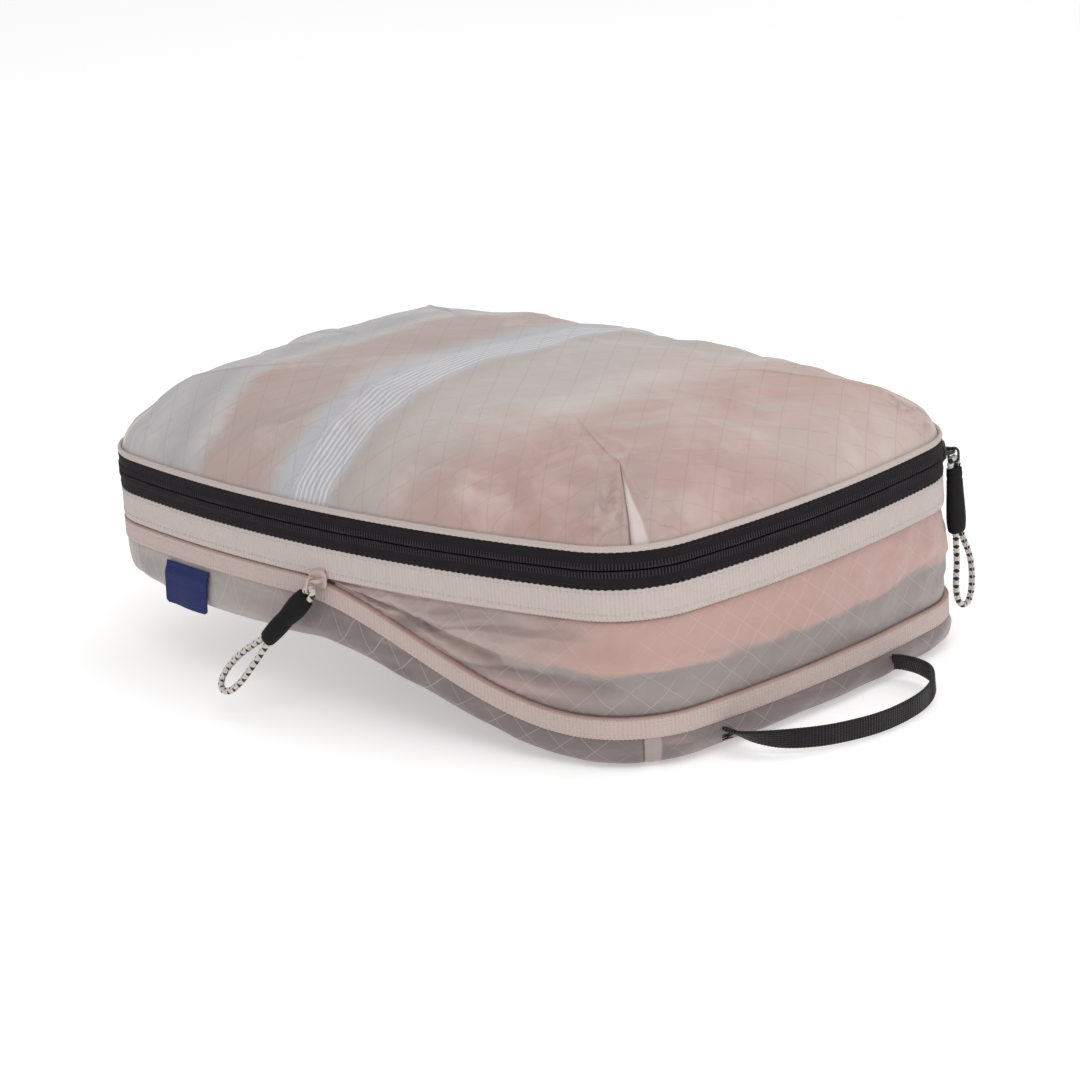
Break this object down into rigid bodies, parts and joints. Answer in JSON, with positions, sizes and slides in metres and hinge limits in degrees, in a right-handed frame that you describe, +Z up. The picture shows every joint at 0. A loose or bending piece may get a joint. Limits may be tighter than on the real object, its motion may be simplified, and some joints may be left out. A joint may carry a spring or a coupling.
{
  "type": "compression packing cube",
  "caption": "Soft packing cube with a zipped hinged lid, a compression zip that closes an expansion gusset, corded zip pulls and a webbing carry handle.",
  "frame": {"origin": "middle of the bounding box on the plane the base rests on", "axes": "+X along the length towards the carry handle, +Y towards the lid's fold, +Z up through the lid"},
  "size_m": [0.4046, 0.291, 0.1345],
  "materials": {
    "ripstop_blush": "translucent ripstop",
    "ripstop_rose": "translucent ripstop",
    "ripstop_grey": "translucent ripstop",
    "cream_tape": "woven tape",
    "cream_coil": "satin",
    "cream_binding": "woven tape",
    "black_tape": "woven tape",
    "black_coil": "satin",
    "black_webbing": "ribbed webbing",
    "navy_label": "woven label",
    "black_metal": "satin",
    "cream_metal": "satin",
    "fleck_cord": "braided",
    "black_grip": "matt"
  },
  "bodies": {
    "bag": {"gusset": "ripstop_rose", "comp_zip_upper_tape": "cream_tape", "comp_zip_upper_coil": "cream_coil", "comp_zip_end_stops": "cream_coil", "band_seam_binding": "cream_binding", "main_zip_lower_tape": "black_tape", "main_zip_lower_coil": "black_coil", "main_zip_end_stops": "black_coil", "spine_panel": "cream_tape"},
    "lid": {"lid_shell": "ripstop_blush", "lid_binding": "cream_binding", "lid_seam_binding": "cream_binding", "main_zip_upper_tape": "black_tape", "main_zip_upper_coil": "black_coil", "lid_hinge_panel": "cream_tape"},
    "base": {"base_shell": "ripstop_grey", "comp_zip_lower_tape": "cream_tape", "comp_zip_lower_coil": "cream_coil", "base_seam_binding": "cream_binding", "handle_bar_tacks": "black_webbing"},
    "handle": {"handle_webbing": "black_webbing"},
    "label": {"label_tag": "navy_label"},
    "main_slider": {"main_slider_body": "black_metal"},
    "main_link": {"main_pull_ring": "black_metal"},
    "main_pull": {"main_pull_cord": "fleck_cord", "main_pull_sleeve": "black_grip"},
    "comp_slider": {"comp_slider_body": "cream_metal"},
    "comp_link": {"comp_pull_ring": "cream_metal"},
    "comp_pull": {"comp_pull_cord": "fleck_cord", "comp_pull_sleeve": "black_grip"}
  },
  "joints": [
    {"name": "lid_hinge", "type": "hinge", "parent": "bag", "child": "lid", "pos_m": [-0.02024, 0.14561, 0.0895], "axis": [-1, 0, 0], "range_deg": [0, 110]},
    {"name": "compress", "type": "slide", "parent": "bag", "child": "base", "axis": [0, 0, 1], "range_m": [0, 0.043], "stiffness_N_per_m": 200, "deforming": ["gusset", "base_shell", "comp_zip_lower_tape", "comp_zip_lower_coil", "base_seam_binding"]},
    {"name": "comp_slider_travel", "type": "hinge", "parent": "bag", "child": "comp_slider", "pos_m": [-0.02024, 0.57941, 0.0665], "axis": [0, 0, 1], "range_deg": [0, 9.5]},
    {"name": "comp_link_lift", "type": "hinge", "parent": "comp_slider", "child": "comp_link", "pos_m": [-0.02226, -0.12689, 0.0665], "axis": [-1, 0.0029, 0], "range_deg": [-17, 50]},
    {"name": "comp_pull_swing", "type": "hinge", "parent": "comp_link", "child": "comp_pull", "pos_m": [-0.02226, -0.12878, 0.06102], "axis": [-0.0027, -0.9455, 0.3256], "range_deg": [-20, 80]},
    {"name": "main_slider_travel", "type": "hinge", "parent": "bag", "child": "main_slider", "pos_m": [0.11249, 0.08788, 0.0895], "axis": [0, 0, 1], "range_deg": [-30, 8]},
    {"name": "main_link_lift", "type": "hinge", "parent": "main_slider", "child": "main_link", "pos_m": [0.14694, 0.12174, 0.0895], "axis": [0.7009, -0.7133, 0], "range_deg": [0, 75]},
    {"name": "main_pull_swing", "type": "hinge", "parent": "main_link", "child": "main_pull", "pos_m": [0.14694, 0.12174, 0.0837], "axis": [0.7133, 0.7009, 0], "range_deg": [-50, 50]},
    {"name": "handle_swing", "type": "hinge", "parent": "base", "child": "handle", "pos_m": [0.15832, -0.05459, 0.01339], "axis": [-0.0182, -0.9998, 0], "range_deg": [0, 45]},
    {"name": "label_flap", "type": "hinge", "parent": "bag", "child": "label", "pos_m": [-0.11845, -0.11518, 0.055], "axis": [-0.9902, 0.14, 0], "range_deg": [0, 60]}
  ],
  "couplings": [
    {"joint": "comp_slider_travel", "follows": "compress", "rad_per_m": 3.85}
  ]
}
